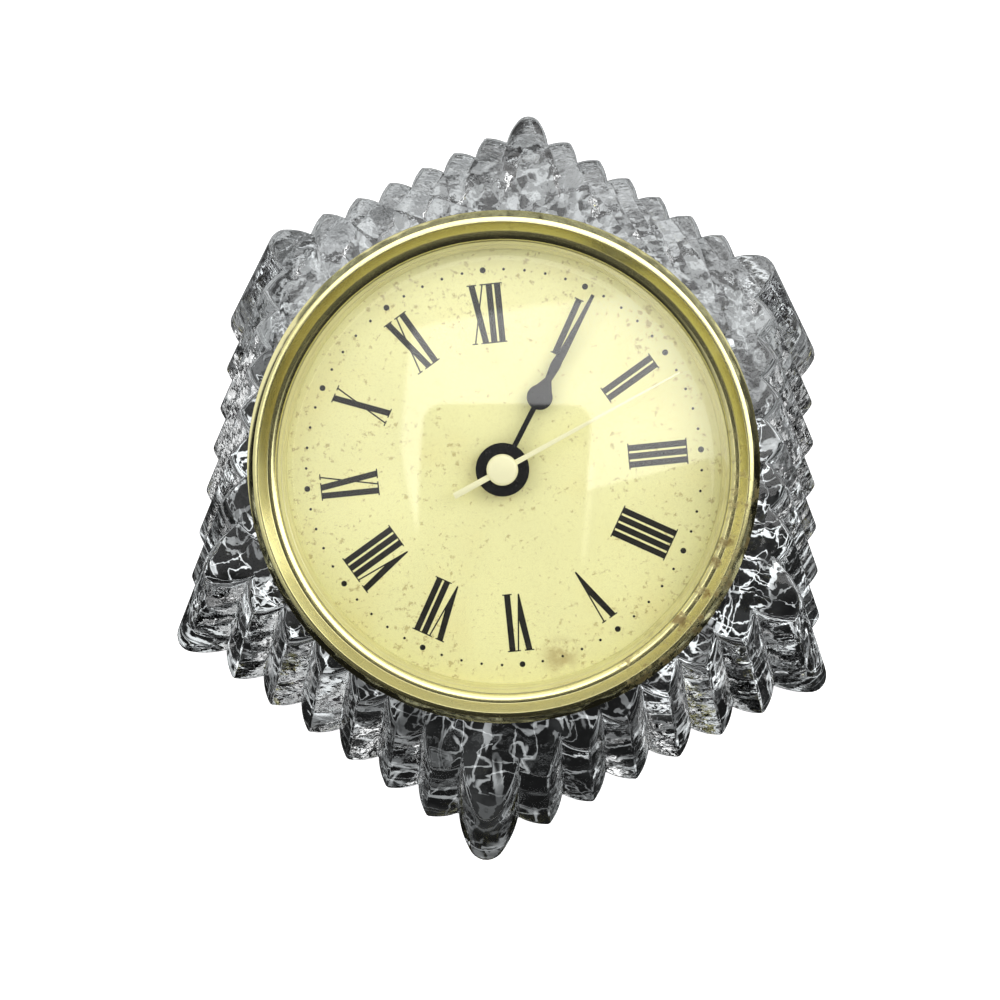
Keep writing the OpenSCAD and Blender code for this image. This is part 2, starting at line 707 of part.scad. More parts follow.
// Bobbin with two flanges, threaded on the core
module coil_bobbin() {
    color("darkgreen") on_face() translate([coil_x, coil_y, coil_z]) rotate([0, 90, 0]) difference() {
        union() {
            cylinder(r = bobbin_r, h = bobbin_len, center = true);
            for (z = [-bobbin_len / 2, bobbin_len / 2 - flange_t]) translate([0, 0, z])
                cylinder(r = winding_r + 0.2, h = flange_t);
        }
        cube([iron_t + 2 * seat_fit, leg_w + 2 * seat_fit, bobbin_len + 2], center = true);
    }
}

module coil_winding() {
    winding_len = bobbin_len - 2 * flange_t - seat_gap;
    color("chocolate") on_face() translate([coil_x, coil_y, coil_z]) rotate([0, 90, 0])
        tube(winding_r, bobbin_r + seat_fit, -winding_len / 2, winding_len);
}

module circuit_board() {
    color("olivedrab") on_face() translate([board_low.x, board_low.y, board_z]) cube(board_size);
}

// Drop of potting resin over the chip
module driver_chip() {
    drop_r = 2.6;
    drop_h = 1;
    color("black") on_face() translate([board_low.x + 4, board_low.y + 11, board_z + board_size.z])
        rotate_extrude() polygon([[0, 0], [drop_r, 0], [drop_r - 0.3, drop_h / 2],
            [drop_r - 1.2, drop_h - 0.1], [0, drop_h]]);
}

module quartz_can() {
    can_r = 1;
    can_len = 6;
    color("silver") on_face()
        translate([board_low.x + board_size.x - 1.4, board_low.y + 8, board_top + can_r])
            rotate([-90, 0, 0]) cylinder(r = can_r, h = can_len);
}

// Flat strip from the battery's nipple along its upper side to the board
module contact_plus() {
    strip_y = plate_edge_y - 0.6;
    strip_h = 1.2;
    strip_z = third_z - strip_h - 0.2;
    tab_x = 3;
    color("silver") on_face() union() {
        translate([-contact_x - contact_t, -battery_drop - contact_half, battery_z - contact_half])
            cube([contact_t, strip_y + contact_t + battery_drop + contact_half, 2 * contact_half]);
        translate([-contact_x - contact_t, strip_y, strip_z])
            cube([contact_x + contact_t + board_low.x + tab_x, contact_t, strip_h]);
        translate([board_low.x + tab_x - contact_t, strip_y, board_top])
            cube([contact_t, board_low.y + 2 - strip_y, strip_z + strip_h - board_top]);
    }
}

// Leaf spring against the battery's flat end, with an arm that passes over the
// plus strip and ends in a tab on the board
module contact_minus() {
    arm_h = 1.2;
    arm_low = third_z;
    arm_y = board_low.y + 0.6;
    leaf_x = battery_len / 2 + 0.2;
    color("silver") on_face() translate([leaf_x, 0, 0]) union() {
        translate([0, -battery_drop - contact_half, battery_z - contact_half])
            cube([contact_t, 2 * contact_half, 2 * contact_half]);
        translate([0, -battery_drop, arm_low]) cube([contact_t, battery_drop + arm_y + contact_t, arm_h]);
        translate([0, arm_y, board_top])
            cube([board_low.x + 1.5 - leaf_x, contact_t, arm_low + arm_h - board_top]);
    }
}

module battery() {
    nipple_r = 2.2;
    nipple_h = 0.8;
    edge = 0.3;
    color("darkred") on_face() translate([-battery_len / 2, -battery_drop, battery_z]) rotate([0, 90, 0])
        rotate_extrude() polygon([[0, -nipple_h], [nipple_r, -nipple_h], [nipple_r, 0],
            [battery_r - edge, 0], [battery_r, edge], [battery_r, battery_len - edge],
            [battery_r - edge, battery_len], [0, battery_len]]);
}

// Sliding cover of the battery well with finger grooves
module battery_hatch() {
    groove_pitch = 1.4;
    groove_w = 0.6;
    groove_len = 10;
    skin = 0.05;
    color("dimgray") on_face() difference() {
        translate([0, -battery_drop, case_bottom + skin]) rounded_box(hatch_half, 1, hatch_t - 2 * skin);
        for (i = [-2:2])
            translate([-groove_len / 2, -battery_drop + i * groove_pitch - groove_w / 2, case_bottom - 0.25])
                cube([groove_len, groove_w, 0.5]);
    }
}

// Ribbed knob in its well, with the shaft and pinion that turn the motion work
module setting_knob() {
    grips = 20;
    grip_depth = 0.35;
    knob_top = case_bottom + knob_well - 0.3;
    color("gray") on_face() translate([knob_xy.x, knob_xy.y, 0]) union() {
        translate([0, 0, case_bottom + 0.1]) linear_extrude(height = knob_top - case_bottom - 0.1)
            polygon([for (i = [0:grips - 1], s = [0, 1])
                polar(knob_r - s * grip_depth, (i + s / 2) * 360 / grips)]);
        tube(knob_shaft_r, 0, knob_top - 0.1, motion_z - knob_top + 0.1);
        gear(knob_teeth, m_motion, knob_phase, motion_z, wheel_t);
    }
}

crystal_body();
bezel();
lens();
dial_ring();
dial();
insert_case();
case_gasket();
front_plate();
middle_plate();
back_plate();
plate_screws();
bushing();
dial_washer();
dial_nut();
hour_wheel();
hour_hand();
minute_arbor();
minute_hand();
second_wheel();
second_hand();
motion_wheel();
centre_wheel();
third_wheel();
step_wheel();
rotor();
stator();
coil_core();
coil_bobbin();
coil_winding();
circuit_board();
driver_chip();
quartz_can();
contact_plus();
contact_minus();
battery();
battery_hatch();
setting_knob();
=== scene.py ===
import math
import bmesh
import bpy
from mathutils import Euler, Matrix, Vector


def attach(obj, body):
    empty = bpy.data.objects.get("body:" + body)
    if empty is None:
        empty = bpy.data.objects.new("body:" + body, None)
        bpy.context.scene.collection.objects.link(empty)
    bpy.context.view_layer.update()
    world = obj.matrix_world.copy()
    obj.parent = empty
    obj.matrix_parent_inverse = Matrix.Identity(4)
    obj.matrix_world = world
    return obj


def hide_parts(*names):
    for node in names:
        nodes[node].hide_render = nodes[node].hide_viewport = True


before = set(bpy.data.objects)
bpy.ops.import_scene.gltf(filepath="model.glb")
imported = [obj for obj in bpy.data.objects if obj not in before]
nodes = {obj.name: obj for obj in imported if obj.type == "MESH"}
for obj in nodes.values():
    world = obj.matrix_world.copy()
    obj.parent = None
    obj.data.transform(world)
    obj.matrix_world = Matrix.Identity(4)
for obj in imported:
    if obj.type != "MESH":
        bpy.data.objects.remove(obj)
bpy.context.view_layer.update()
scene = bpy.context.scene
mm = 0.001

# where the insert sits: its axis is square to the sloping face
seat = {"side": 0.9, "offset": 10.4, "faceHeight": 43.4, "tilt": 22.5, "turn": 9.2}
seatHeight = seat["faceHeight"] - math.tan(math.radians(seat["tilt"])) * seat["offset"]
insertFrame = (Matrix.Translation((-seat["side"] * mm, -seat["offset"] * mm, seatHeight * mm))
               @ Matrix.Rotation(math.radians(seat["tilt"]), 4, "X")
               @ Matrix.Rotation(math.radians(seat["turn"]), 4, "Z"))


def mathStep(operation, reflected=False):
    def apply(self, other):
        first, second = (other, self) if reflected else (self, other)
        return self.finish.maths(operation, first, second)
    return apply


# shader maths: a wrapped socket, and below it the builder that makes the nodes
class Signal:
    def __init__(self, finish, socket):
        self.finish, self.socket = finish, socket

    __add__, __radd__ = mathStep("ADD"), mathStep("ADD", True)
    __sub__, __rsub__ = mathStep("SUBTRACT"), mathStep("SUBTRACT", True)
    __mul__, __rmul__ = mathStep("MULTIPLY"), mathStep("MULTIPLY", True)
    __truediv__, __rtruediv__ = mathStep("DIVIDE"), mathStep("DIVIDE", True)
    __pow__, __gt__, __lt__ = mathStep("POWER"), mathStep("GREATER_THAN"), mathStep("LESS_THAN")

    def split(self):
        # the three numbers of a vector
        parts = self.finish.node("ShaderNodeSeparateXYZ", values={"Vector": self})
        return [Signal(self.finish, output) for output in parts.socket.node.outputs]

    def held(self):
        # kept between 0 and 1
        return self.finish.node("ShaderNodeClamp", values={"Value": self})

    def above(self, low, high):
        # 0 at low, 1 at high, with a soft step between them
        return self.finish.node("ShaderNodeMapRange", {"interpolation_type": "SMOOTHSTEP"},
                                {"Value": self, "From Min": low, "From Max": high})


class Finish:
    def __init__(self, name, tree=None):
        if tree is None:
            self.material = bpy.data.materials.new(name)
            self.material.use_nodes = True
            tree = self.material.node_tree
        else:
            self.material = None
        self.tree = tree
        tree.nodes.clear()

    def node(self, kind, settings=None, values=None, out=0):
        made = self.tree.nodes.new(kind)
        for key, value in (settings or {}).items():
            setattr(made, key, value)
        for key, value in (values or {}).items():
            if isinstance(key, int):
                target = made.inputs[key]
            else:
                target = next(s for s in made.inputs
                              if s.enabled and key in (s.identifier, s.name))
            if isinstance(value, Signal):
                self.tree.links.new(value.socket, target)
            else:
                target.default_value = value
        output = made.outputs[out] if isinstance(out, int) else next(
            s for s in made.outputs if s.enabled and out in (s.identifier, s.name))
        return Signal(self, output)

    def maths(self, operation, first, second=0.0):
        return self.node("ShaderNodeMath", {"operation": operation}, {0: first, 1: second})

    def length(self, across, upward):
        return self.maths("SQRT", across * across + upward * upward)

    def distance(self, where, centre):
        return self.node("ShaderNodeVectorMath", {"operation": "DISTANCE"},
                         {0: where, 1: centre}, "Value")

    def rays(self, *kinds):
        path = self.node("ShaderNodeLightPath")
        return [Signal(self, path.socket.node.outputs["Is " + kind + " Ray"]) for kind in kinds]

    def place(self, centre=(0, 0, 0), turn=(0, 0, 0), scale=(1, 1, 1)):
        coords = self.node("ShaderNodeTexCoord", out="Object")
        return self.node("ShaderNodeMapping", {"vector_type": "TEXTURE"},
                         {"Vector": coords, "Location": centre, "Rotation": turn, "Scale": scale})

    def noise(self, where, scale, detail=3.0, roughness=0.5, distortion=0.0):
        return self.node("ShaderNodeTexNoise", {"noise_dimensions": "3D"},
                         {"Vector": where, "Scale": scale, "Detail": detail,
                          "Roughness": roughness, "Distortion": distortion})

    def blend(self, factor, first, second):
        return self.node("ShaderNodeMix", {"data_type": "RGBA"},
                         {"Factor_Float": factor, "A_Color": first, "B_Color": second},
                         "Result_Color")

    def bump(self, height, depth, strength=1.0):
        return self.node("ShaderNodeBump", values={"Height": height, "Distance": depth,
                                                   "Strength": strength})

    def principled(self, **values):
        names = {"colour": "Base Color", "rough": "Roughness", "metal": "Metallic",
                 "normal": "Normal", "coat": "Coat Weight", "ior": "IOR",
                 "through": "Transmission Weight"}
        return self.node("ShaderNodeBsdfPrincipled",
                         values={names[key]: value for key, value in values.items()})

    def close(self, shader, kind="ShaderNodeOutputMaterial"):
        end = self.tree.nodes.new(kind)
        self.tree.links.new(shader.socket, end.inputs["Surface"])
        return self.material


def shade(colour):
    # a colour read off a screen, 0 to 255, as scene linear
    def linear(c):
        c /= 255
        return c / 12.92 if c <= 0.04045 else ((c + 0.055) / 1.055) ** 2.4
    return tuple(linear(c) for c in colour) + (1.0,)


# mesh helpers
def ringMesh(name, profile, steps, place, closed=True, sharp=35):
    # a profile of (radius, height) in mm, turned round the insert's axis
    shape = bmesh.new()
    rows = []
    for radius, height in profile:
        if radius < 1e-6:
            rows.append([shape.verts.new((0, 0, height * mm))])
        else:
            rows.append([shape.verts.new((radius * mm * math.cos(math.tau * i / steps),
                                          radius * mm * math.sin(math.tau * i / steps),
                                          height * mm)) for i in range(steps)])
    pairs = list(zip(rows, rows[1:] + rows[:1]))
    if not closed:
        pairs.pop()
    for first, second in pairs:
        if len(first) == 1 and len(second) == 1:
            continue
        for i in range(steps):
            j = (i + 1) % steps
            corners = [first[i % len(first)], first[j % len(first)],
                       second[j % len(second)], second[i % len(second)]]
            shape.faces.new(list(dict.fromkeys(corners)))
    bmesh.ops.recalc_face_normals(shape, faces=shape.faces)
    return meshPiece(name, shape, place, sharp)


def meshPiece(name, shape, place, sharp=35):
    shape.transform(place)
    mesh = bpy.data.meshes.new(name)
    shape.to_mesh(mesh)
    shape.free()
    if sharp:
        mesh.shade_smooth()
        mesh.set_sharp_from_angle(angle=math.radians(sharp))
    piece = bpy.data.objects.new(name, mesh)
    scene.collection.objects.link(piece)
    return piece


def prism(shape, outline, low, high):
    # a flat outline in mm made solid between two heights
    count = len(outline)
    lower = [shape.verts.new((x * mm, y * mm, low * mm)) for x, y in outline]
    upper = [shape.verts.new((x * mm, y * mm, high * mm)) for x, y in outline]
    shape.faces.new(lower[::-1])
    shape.faces.new(upper)
    for i in range(count):
        j = (i + 1) % count
        shape.faces.new((lower[i], lower[j], upper[j], upper[i]))


def arc(cx, cy, radius, start, end, steps):
    return [(cx + radius * math.cos(math.radians(start + (end - start) * i / steps)),
             cy + radius * math.sin(math.radians(start + (end - start) * i / steps)))
            for i in range(steps + 1)]


def rounded(outline, radius, steps, closed=True):
    # each corner of an outline replaced by a small arc that fits between its neighbours
    result = []
    count = len(outline)
    for i, corner in enumerate(outline):
        if not closed and i in (0, count - 1):
            result.append(corner)
            continue
        here = Vector(corner)
        before, after = Vector(outline[i - 1]) - here, Vector(outline[(i + 1) % count]) - here
        turn = before.angle(after)
        if turn > math.radians(158):
            result.append(corner)
            continue
        reach = min(radius / math.tan(turn / 2), 0.46 * before.length, 0.46 * after.length)
        start, end = here + before.normalized() * reach, here + after.normalized() * reach
        for k in range(steps + 1):
            t = k / steps
            point = start * (1 - t) ** 2 + here * 2 * t * (1 - t) + end * t ** 2
            result.append((point.x, point.y))
    return result


def dress(piece, material, body, slot, *replaced):
    piece.data.materials.clear()
    piece.data.materials.append(material)
    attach(piece, body)
    if replaced:
        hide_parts(*replaced)
    return piece


# crystal: six sides of V ridges with a rounded tooth at each corner, leaning to one apex
crystal = {
    "apothem": 63.3, "groove": 3.7, "ridges": 6, "cornerShare": 8.6, "cornerReach": 0.6,
    "noseRadius": 3.6, "noseHalfAngle": 62, "noseSteps": 9, "crestFlat": 0.5, "lean": 22.5,
    "leanFrom": 1.4, "footHeight": 2.8, "footInset": 1.35, "footSteps": 7, "faceBevel": 1.1,
    "faceSteps": 5, "edgeRound": 0.42, "edgeSteps": 4, "bulge": 0.36, "bulgeSteps": 8,
    "flankOver": 3, "pocketRadius": 40.1, "pocketDepth": 19.5, "pocketRound": 0.8,
    "pocketOver": 6, "pocketSteps": 160, "sharp": 24,
}


def crystalOutline():
    size = crystal
    half = size["apothem"] * math.tan(math.radians(30))
    pitch = 2 * (half - size["cornerShare"]) / size["ridges"]
    low = size["apothem"] - size["groove"]
    noseCentre = (size["apothem"] / math.cos(math.radians(30)) + size["cornerReach"]
                  - size["noseRadius"])
    corners = []
    for side in range(6):
        a = math.radians(60 * side)

        def turned(x, y, extra=0.0):
            return (x * math.cos(a + extra) - y * math.sin(a + extra),
                    x * math.sin(a + extra) + y * math.cos(a + extra))
        for i in range(size["ridges"] + 1):
            along = (i - size["ridges"] / 2) * pitch
            corners.append(turned(low, along))
            if i < size["ridges"]:
                for edge in (-0.5, 0.5):
                    corners.append(turned(size["apothem"],
                                          along + pitch / 2 + edge * size["crestFlat"]))
        for x, y in arc(noseCentre, 0, size["noseRadius"], -size["noseHalfAngle"],
                        size["noseHalfAngle"], size["noseSteps"]):
            corners.append(turned(x, y, math.radians(30)))
    points = []
    for here, after in zip(corners, corners[1:] + corners[:1]):
        points.append(here)
        run, climb = after[0] - here[0], after[1] - here[1]
        span = math.hypot(run, climb)
        if span > size["flankOver"]:  # a flank, pressed slightly full
            for k in range(1, size["bulgeSteps"]):
                t = k / size["bulgeSteps"]
                swell = size["bulge"] * 4 * t * (1 - t) / span
                points.append((here[0] + run * t + climb * swell,
                               here[1] + climb * t - run * swell))
    return rounded(points, size["edgeRound"], size["edgeSteps"])


def makeCrystal():
    size = crystal
    outline = crystalOutline()
    apex = size["apothem"] / math.tan(math.radians(size["lean"]))
    rise = math.tan(math.radians(seat["tilt"]))

    def upWall(x, y, z):
        share = 1 - (z - size["leanFrom"]) / apex
        return (x * share, y * share, z)

    def slopeHeight(y, drop):
        return ((seat["faceHeight"] - drop + rise * y * (1 + size["leanFrom"] / apex))
                / (1 + rise * y / apex))
    faceShare = 1 - seat["faceHeight"] / apex
    rows = []
    for step in range(size["footSteps"] + 1):  # rounded foot
        angle = math.radians(90 * step / size["footSteps"])
        height = size["footHeight"] * (1 - math.cos(angle))
        scale = 1 - size["footInset"] * (1 - math.sin(angle)) / size["apothem"]
        scale *= min(1, 1 - (height - size["leanFrom"]) / apex)
        rows.append([(x * scale, y * scale, height) for x, y in outline])
    for step in range(size["faceSteps"] + 1):  # rounded edge of the face
        angle = math.radians(90 * step / size["faceSteps"])
        drop = size["faceBevel"] * (1 - math.sin(angle))
        scale = 1 - size["faceBevel"] * (1 - math.cos(angle)) / size["apothem"] / faceShare
        rows.append([upWall(x * scale, y * scale, slopeHeight(y * scale, drop))
                     for x, y in outline])
    shape = bmesh.new()
    grid = [[shape.verts.new((x * mm, y * mm, z * mm)) for x, y, z in row] for row in rows]
    count = len(outline)
    for lower, upper in zip(grid, grid[1:]):
        for i in range(count):
            j = (i + 1) % count
            shape.faces.new((lower[i], lower[j], upper[j], upper[i]))
    shape.faces.new(grid[0][::-1])
    shape.faces.new(grid[-1])
    block = meshPiece("crystal", shape, Matrix.Identity(4), sharp=0)
    depth, radius = size["pocketDepth"], size["pocketRadius"]
    bevel, over = size["pocketRound"], size["pocketOver"]
    plug = ringMesh("pocketTool", [(0, -depth), (radius - bevel, -depth),
                                   (radius, -depth + bevel), (radius, over), (0, over)],
                    size["pocketSteps"], insertFrame, closed=False)
    cut = block.modifiers.new("pocket", "BOOLEAN")
    cut.operation, cut.solver, cut.object = "DIFFERENCE", "EXACT", plug
    bpy.context.view_layer.update()
    evaluated = block.evaluated_get(bpy.context.evaluated_depsgraph_get())
    cutMesh = bpy.data.meshes.new_from_object(evaluated)
    block.modifiers.clear()
    block.data = cutMesh
    bpy.data.objects.remove(plug)
    cutMesh.shade_smooth()
    cutMesh.set_sharp_from_angle(angle=math.radians(size["sharp"]))
    return block


glass = {"tint": (0.975, 0.985, 0.985, 1), "ior": 1.53, "ripple": 150.0, "pebble": 520.0,
         "pebbleShare": 0.2, "depth": 0.0008, "strength": 0.26}


def glassFinish():
    made = Finish("crystalGlass")
    where = made.place()
    ripple = made.noise(where, glass["ripple"], 2.0, 0.5)
    pebble = made.noise(where, glass["pebble"], 2.0, 0.5)
    normal = made.bump(ripple + pebble * glass["pebbleShare"], glass["depth"], glass["strength"])
    return made.close(made.principled(colour=glass["tint"], rough=0.0, through=1.0,
                                      ior=glass["ior"], normal=normal))


crystalPiece = dress(makeCrystal(), glassFinish(), "crystal", "crystal", "crystal_body")
print("crystal made:", len(crystalPiece.data.polygons), "faces")


# bezel: wall on the glass, sloping shoulder, raised bead, inner slope, flat lip, skirt
bezel = {"radius": 43.0, "foot": 0.1, "shoulderLow": 3.3, "beadOuter": 41.65, "beadFoot": 4.66,
         "rise": 5.0, "beadInner": 40.7, "ledge": 39.6, "ledgeHeight": 3.12, "lipFlat": 38.95,
         "lipFall": 0.02, "lip": 38.3, "lipDrop": 0.3, "lipUnder": 2.2, "seat": 39.1,
         "skirt": 39.7, "skirtLow": -4.6, "footEdge": 0.2, "shoulderRound": 0.3,
         "beadEdge": 0.08, "beadTilt": 0.025, "beadRound": 0.12, "roundSteps": 4,
         "steps": 288}


def bezelProfile():
    b = bezel
    shoulder = [(b["radius"] - b["footEdge"], b["foot"]), (b["radius"], b["foot"] + b["footEdge"]),
                (b["radius"], b["shoulderLow"]), (b["beadOuter"], b["beadFoot"])]
    bead = [(b["beadOuter"], b["beadFoot"]),
            (b["beadOuter"] - b["beadEdge"], b["rise"] - b["beadTilt"]),
            (b["beadInner"], b["rise"]), (b["ledge"], b["ledgeHeight"]),
            (b["lipFlat"], b["ledgeHeight"] - b["lipFall"]),
            (b["lip"], b["ledgeHeight"] - b["lipDrop"]), (b["lip"], b["lipUnder"])]
    return (rounded(shoulder, b["shoulderRound"], b["roundSteps"], closed=False)[:-1]
            + rounded(bead, b["beadRound"], b["roundSteps"], closed=False)
            + [(b["seat"], b["lipUnder"]), (b["seat"], b["skirtLow"]),
               (b["skirt"], b["skirtLow"]), (b["skirt"], b["foot"])])


brass = {"cloud": 90.0, "fine": 900.0, "spots": 420.0, "patches": 260.0, "wornFrom": 0.012,
         "wornTo": 0.042, "tarnish": (112, 84, 38), "wornAt": (33.0, -25.5, 4.0)}
wearSpot = tuple(insertFrame @ Vector([c * mm for c in brass["wornAt"]]))


def brassFinish(name, colour, dull, rough, wear, metal=1.0):
    # polished brass: soft clouding all over, brown tarnish and pits where wear is set
    made = Finish(name)
    where = made.place()
    cloud = made.noise(where, brass["cloud"], 4.0, 0.6).above(0.35, 0.75)
    fine = made.noise(where, brass["fine"], 3.0, 0.6)
    spots = made.noise(where, brass["spots"], 5.0, 0.7).above(0.60, 0.70)
    region = 1 - made.distance(where, wearSpot).above(brass["wornFrom"], brass["wornTo"])
    patch = (made.noise(where, brass["patches"], 5.0, 0.7) + region * 0.12).above(0.60, 0.74)
    worn = (patch * region * wear + spots * (0.25 + region * 0.75) * wear * 0.7).held()
    base = made.blend(cloud * 0.5, colour, dull)
    base = made.blend(worn, base, shade(brass["tarnish"]))
    return made.close(made.principled(
        colour=base, metal=metal - worn * 0.3, rough=rough + cloud * 0.06 + worn * 0.3,
        normal=made.bump(fine + spots * 0.5, 0.00002, 0.25)))


bezelBrass = brassFinish("bezelBrass", shade((240, 233, 170)), shade((226, 214, 146)), 0.13,
                         0.8)
dress(ringMesh("bezelRing", bezelProfile(), bezel["steps"], insertFrame),
      bezelBrass, "insert", "bezel_brass", "bezel")

# domed lens, with the edge that the lip holds
lens = {"lip": 38.3, "crown": 6.4, "edgeTop": 2.1, "edgeLow": 1.3, "edge": 39.0, "thick": 1.6,
        "clear": 0.1, "innerShare": 0.985, "footIn": 0.6, "rings": 26, "steps": 192}


def lensProfile():
    size = lens
    rise = size["crown"] - size["edgeTop"]
    dome = (size["lip"] ** 2 + rise ** 2) / (2 * rise)

    def height(r):
        return size["crown"] - dome + math.sqrt(dome * dome - r * r)
    reach = size["lip"] - size["clear"]
    outer = [(reach * i / size["rings"], height(reach * i / size["rings"]))
             for i in range(size["rings"] + 1)]
    inner = [(reach * size["innerShare"] * i / size["rings"],
              height(reach * i / size["rings"]) - size["thick"])
             for i in range(size["rings"] - 1, -1, -1)]
    return outer + [(size["edge"], size["edgeTop"]), (size["edge"], size["edgeLow"]),
                    (size["lip"] - size["footIn"], size["edgeLow"])] + inner


acrylic = {"tint": (0.99, 0.99, 0.985, 1), "gloss": 0.04, "rough": 0.02, "smeared": 0.03,
           "smear": 30.0}


def clearFinish():
    # clear acrylic: straight through, with its gloss and a few soft smears
    made = Finish("lensAcrylic")
    smear = made.noise(made.place(), acrylic["smear"], 3.0, 0.5, 0.6).above(0.4, 0.8)
    gloss = made.node("ShaderNodeBsdfGlossy", values={
        "Color": (1, 1, 1, 1), "Roughness": acrylic["rough"] + smear * acrylic["smeared"]})
    clear = made.node("ShaderNodeBsdfTransparent", values={"Color": acrylic["tint"]})
    # nothing bends in so thin a shell, so both of its faces take the gloss of the outer one
    facing = made.node("ShaderNodeLayerWeight", values={"Blend": 0.5}, out="Facing")
    edge = acrylic["gloss"] + facing ** 5 * (1 - acrylic["gloss"])
    return made.close(made.node("ShaderNodeMixShader", values={0: edge, 1: clear, 2: gloss}))


dress(ringMesh("lensDome", lensProfile(), lens["steps"], insertFrame, closed=False),
      clearFinish(), "insert", "lens_acrylic", "lens")

# stepped inner ring, from under the lens down to the dial
innerRing = {"outer": 39.0, "top": 1.2, "low": -2.9, "show": 37.7, "edgeRound": 0.12,
             "edgeSteps": 3, "steps": 224}
# how far outside the ring's inner edge and how far below its top each corner lies
ringCorners = ((0.6, 0), (0.45, 0.6), (0.4, 1.6), (0.25, 1.7), (0.2, 2.8), (0.05, 3.0))


def innerRingProfile():
    size = innerRing
    stairs = [(size["show"] + out, size["top"] - down) for out, down in ringCorners]
    return ([(size["outer"], size["low"]), (size["outer"], size["top"])]
            + rounded(stairs + [(size["show"], size["low"])], size["edgeRound"],
                      size["edgeSteps"], closed=False))


ringBrass = brassFinish("ringBrass", shade((240, 236, 196)), shade((226, 221, 178)), 0.3,
                        0.2, metal=0.6)
dress(ringMesh("innerRing", innerRingProfile(), innerRing["steps"], insertFrame, sharp=50),
      ringBrass, "insert", "ring_brass", "dial_ring")
print("bezel, lens and inner ring made")

# dial: aged pale gold with brown speckles
dial = {"radius": 38.9, "hole": 3.15, "top": -3.0, "low": -3.4, "steps": 192}
dialTone = {"light": (252, 249, 186), "deep": (243, 240, 180), "warm": (247, 236, 166),
            "grain": (214, 204, 134), "dots": (170, 146, 84), "stain": (160, 128, 66),
            "stainAt": (0.0067, -0.0335, -0.003), "stainFrom": 0.0022, "stainTo": 0.0062,
            "metal": 0.08, "rough": 0.42}
dialUnturn = tuple(insertFrame.to_euler())
dialCentre = tuple(insertFrame.translation)


def dialFinish():
    made = Finish("dialGold")
    where = made.place(dialCentre, dialUnturn)  # in the dial's own plane
    cloud = made.noise(where, 42.0, 4.0, 0.55).above(0.3, 0.75)
    warm = made.noise(where, 95.0, 3.0, 0.5).above(0.45, 0.8)
    speckle = made.noise(where, 900.0, 4.0, 0.7)
    clump = made.noise(where, 70.0, 3.0, 0.6)
    across, upward = where.split()[:2]
    rim = made.length(across, upward).above(0.020, 0.036)
    dots = (speckle + clump * 0.22 + rim * 0.03).above(0.70, 0.80)
    ragged = made.noise(where, 300.0, 4.0, 0.7)
    near = made.distance(where, dialTone["stainAt"]) + ragged * 0.003
    stained = (1 - near.above(dialTone["stainFrom"], dialTone["stainTo"])) * ragged.above(0.3, 0.6)
    base = made.blend(cloud, shade(dialTone["light"]), shade(dialTone["deep"]))
    base = made.blend(warm * 0.45, base, shade(dialTone["warm"]))
    grain = made.noise(where, 2600.0, 2.0, 0.5)
    base = made.blend(grain.above(0.5, 0.75) * 0.28, base, shade(dialTone["grain"]))
    base = made.blend(dots * 0.55, base, shade(dialTone["dots"]))
    base = made.blend(stained * 0.6, base, shade(dialTone["stain"]))
    return made.close(made.principled(
        colour=base, metal=dialTone["metal"], rough=dialTone["rough"] + dots * 0.2,
        normal=made.bump(grain, 0.00001, 0.2)))


dress(ringMesh("dialPlate", [(dial["hole"], dial["low"]), (dial["radius"], dial["low"]),
                             (dial["radius"], dial["top"]), (dial["hole"], dial["top"])],
               dial["steps"], insertFrame), dialFinish(), "insert", "dial_face", "dial")

# numerals: thick bars and thin strokes between fine serif lines, tops outward
numeral = {"inner": 21.9, "outer": 31.9, "bar": 1.05, "thin": 0.24, "gap": 0.38, "serif": 0.2,
           "overhang": 0.3, "veeWidth": 2.6, "veePoint": 0.58, "exWidth": 2.6,
           "inkLow": -3.01, "inkTop": -2.965, "inkStep": 0.0006, "inkLevels": 7}
hourNames = ["XII", "I", "II", "III", "IIII", "V", "VI", "VII", "VIII", "IX", "X", "XI"]


def stroke(x0, y0, x1, y1, width):
    # a slanting stroke with level ends
    return [(x0 - width / 2, y0), (x0 + width / 2, y0), (x1 + width / 2, y1), (x1 - width / 2, y1)]


